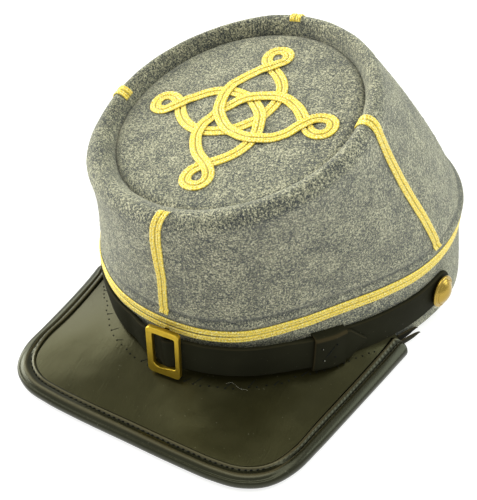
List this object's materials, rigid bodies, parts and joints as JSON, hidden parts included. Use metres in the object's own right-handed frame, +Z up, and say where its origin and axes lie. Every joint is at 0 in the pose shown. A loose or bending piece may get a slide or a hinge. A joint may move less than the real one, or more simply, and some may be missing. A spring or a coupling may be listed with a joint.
{
  "type": "kepi cap",
  "caption": "Soft felt cap with a leaning crown, flat braid with a looped knot on top, stiff leather visor and a buckled strap.",
  "frame": {"origin": "middle of the whole cap's box, on the level surface that it rests on", "axes": "-Y towards the front of the cap, +X towards the wearer's left, +Z up"},
  "size_m": [0.1905, 0.2445, 0.1286],
  "materials": {
    "felt": "heather grey wool felt",
    "braid": "gold flat braid",
    "visor_leather": "smooth waxed black leather",
    "strap_leather": "smooth black leather",
    "brass": "polished, lightly worn"
  },
  "bodies": {
    "root": {"crown_side": "felt", "crown_top": "felt", "band": "felt", "band_braid": "braid", "front_braid": "braid", "left_braid": "braid", "back_braid": "braid", "right_braid": "braid", "top_knot": "braid", "visor": "visor_leather", "visor_binding": "visor_leather", "visor_tail_left": "visor_leather", "visor_tail_right": "visor_leather", "strap_long": "strap_leather", "strap_short": "strap_leather", "strap_keeper": "strap_leather", "buckle": "brass", "button_left": "brass", "button_right": "brass"}
  },
  "joints": []
}
